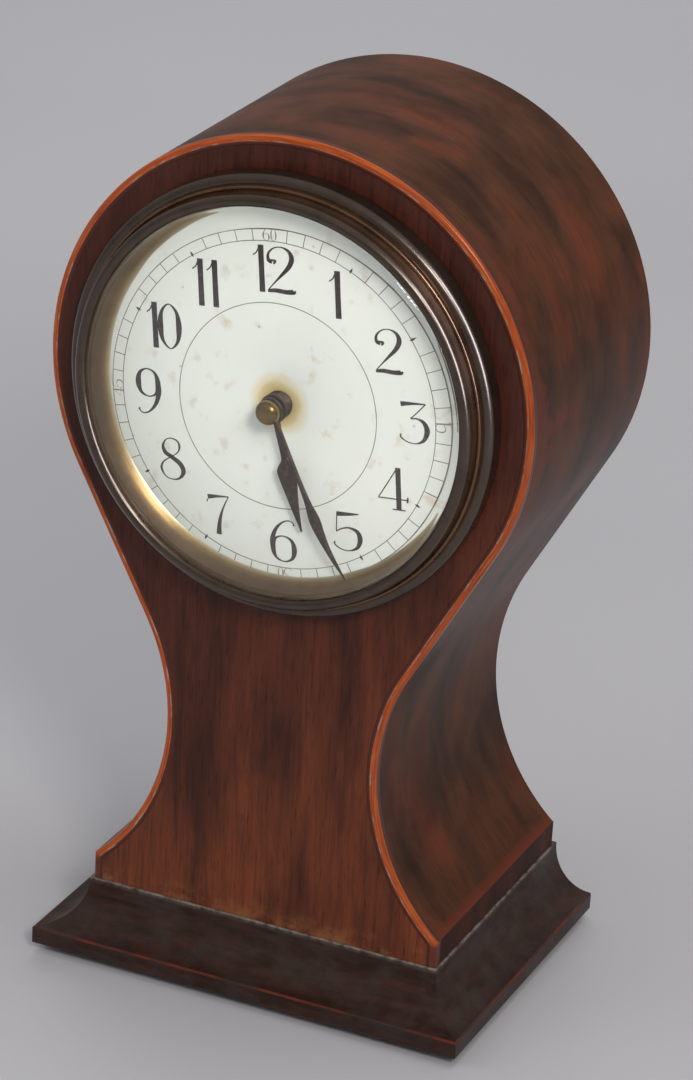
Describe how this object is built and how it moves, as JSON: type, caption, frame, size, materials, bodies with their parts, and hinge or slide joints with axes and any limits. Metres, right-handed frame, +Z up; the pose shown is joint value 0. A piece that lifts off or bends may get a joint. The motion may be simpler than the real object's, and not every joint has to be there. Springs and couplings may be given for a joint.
{
  "type": "balloon mantel clock",
  "caption": "Balloon-shaped wooden mantel clock with a round glazed dial, moulded plinth and a spring-driven drum movement wound and set from the back.",
  "frame": {"origin": "on the table under the middle of the clock's bounding box", "axes": "+Z up, +X to the viewer's right, -Y towards the front"},
  "size_m": [0.129, 0.1076, 0.2295],
  "materials": {
    "mahogany": "polished",
    "carcass_pine": "oiled, unpolished",
    "mahogany_veneer": "polished",
    "boxwood_stringing": "stained and polished",
    "ebonised_wood": "stained dark and polished",
    "steel": "bright steel",
    "blued_steel": "blued spring steel",
    "brass": "lacquered",
    "patinated_brass": "dark patina",
    "enamel": "cream vitreous enamel",
    "glass": "clear bevelled glass"
  },
  "bodies": {
    "case": {"front_board": "mahogany", "carcass": "carcass_pine", "rim_veneer": "mahogany_veneer", "edge_stringing": "boxwood_stringing", "back_board": "carcass_pine", "bottom_board": "carcass_pine", "plinth_core": "ebonised_wood", "plinth_front_moulding": "ebonised_wood", "plinth_left_moulding": "ebonised_wood", "plinth_right_moulding": "ebonised_wood", "button_feet": "ebonised_wood", "plinth_screws": "steel", "back_board_screws": "brass", "drum": "brass", "dial_plate": "brass", "dial": "enamel", "rear_ring": "brass", "clamp_screws": "steel", "bezel": "patinated_brass", "bezel_glass": "glass", "sight_ring": "brass", "door_hinge_pin": "brass", "front_plate": "brass", "back_plate": "brass", "pillars": "brass", "pillar_screws": "steel", "movement_screws": "steel", "click_spring": "blued_steel", "platform": "brass", "platform_screws": "steel", "escape_bridge": "brass", "balance_cock": "brass"},
    "centre_work": {"centre_arbor": "steel", "centre_wheel": "brass", "cannon_pinion": "steel", "minute_hand": "patinated_brass", "hand_nut": "patinated_brass", "set_knob": "brass"},
    "hour_work": {"hour_wheel": "brass", "hour_hand": "patinated_brass"},
    "minute_work": {"minute_wheel": "brass"},
    "intermediate_work": {"intermediate_wheel": "brass", "intermediate_arbor": "steel"},
    "barrel_work": {"barrel": "brass", "barrel_cover": "brass", "mainspring": "blued_steel"},
    "third_work": {"third_wheel": "brass", "third_arbor": "steel"},
    "fourth_work": {"fourth_wheel": "brass"},
    "escape_work": {"escape_wheel": "brass"},
    "winding_work": {"winding_arbor": "steel", "ratchet_wheel": "steel"},
    "click_arm": {"click": "steel"},
    "lever_work": {"lever": "steel"},
    "balance_work": {"balance": "brass", "hairspring": "blued_steel"},
    "regulator_arm": {"regulator": "steel"},
    "door": {"back_door": "brass", "door_knob": "brass"}
  },
  "joints": [
    {"name": "centre_turn", "type": "hinge", "parent": "case", "child": "centre_work", "pos_m": [0, 0, 0.1635], "axis": [0, 1, 0], "continuous": true},
    {"name": "hour_turn", "type": "hinge", "parent": "case", "child": "hour_work", "pos_m": [0, 0, 0.1635], "axis": [0, 1, 0], "continuous": true},
    {"name": "minute_wheel_turn", "type": "hinge", "parent": "case", "child": "minute_work", "pos_m": [0.0045, 0, 0.15571], "axis": [0, 1, 0], "continuous": true},
    {"name": "intermediate_turn", "type": "hinge", "parent": "case", "child": "intermediate_work", "pos_m": [0.01406, 0, 0.15795], "axis": [0, 1, 0], "continuous": true},
    {"name": "barrel_turn", "type": "hinge", "parent": "case", "child": "barrel_work", "pos_m": [0, 0, 0.1435], "axis": [0, 1, 0], "continuous": true},
    {"name": "third_turn", "type": "hinge", "parent": "case", "child": "third_work", "pos_m": [-0.0072, 0, 0.17597], "axis": [0, 1, 0], "continuous": true},
    {"name": "fourth_turn", "type": "hinge", "parent": "case", "child": "fourth_work", "pos_m": [0.00429, 0, 0.17905], "axis": [0, 1, 0], "continuous": true},
    {"name": "escape_turn", "type": "hinge", "parent": "case", "child": "escape_work", "pos_m": [0.012, 0, 0.18751], "axis": [0, 1, 0], "continuous": true},
    {"name": "winding_turn", "type": "hinge", "parent": "case", "child": "winding_work", "pos_m": [0, 0, 0.1435], "axis": [0, 1, 0], "continuous": true},
    {"name": "click_lift", "type": "hinge", "parent": "case", "child": "click_arm", "pos_m": [0.01108, 0, 0.14669], "axis": [0, 1, 0], "range_deg": [0, 10], "stiffness_Nm_per_rad": 0.001, "springref_deg": -11.46, "deforming": ["click_spring"]},
    {"name": "lever_rock", "type": "hinge", "parent": "case", "child": "lever_work", "pos_m": [0.0058, 0, 0.18751], "axis": [0, 1, 0], "range_deg": [-4, 4]},
    {"name": "balance_swing", "type": "hinge", "parent": "case", "child": "balance_work", "pos_m": [-0.0017, 0, 0.18751], "axis": [0, 1, 0], "range_deg": [-150, 150], "stiffness_Nm_per_rad": 0.00001},
    {"name": "regulator_move", "type": "hinge", "parent": "case", "child": "regulator_arm", "pos_m": [-0.0017, 0, 0.18751], "axis": [0, 1, 0], "range_deg": [-20, 20]},
    {"name": "door_hinge", "type": "hinge", "parent": "case", "child": "door", "pos_m": [0.0423, 0.0413, 0.165], "axis": [0, 0, -1], "range_deg": [0, 115]}
  ],
  "couplings": [
    {"joint": "hour_turn", "follows": "centre_turn", "ratio": 0.083333},
    {"joint": "minute_wheel_turn", "follows": "centre_turn", "ratio": -0.33333},
    {"joint": "intermediate_turn", "follows": "centre_turn", "ratio": -0.16667},
    {"joint": "barrel_turn", "follows": "centre_turn", "ratio": 0.02381},
    {"joint": "third_turn", "follows": "centre_turn", "ratio": -8},
    {"joint": "fourth_turn", "follows": "centre_turn", "ratio": 60},
    {"joint": "escape_turn", "follows": "centre_turn", "ratio": -600}
  ]
}
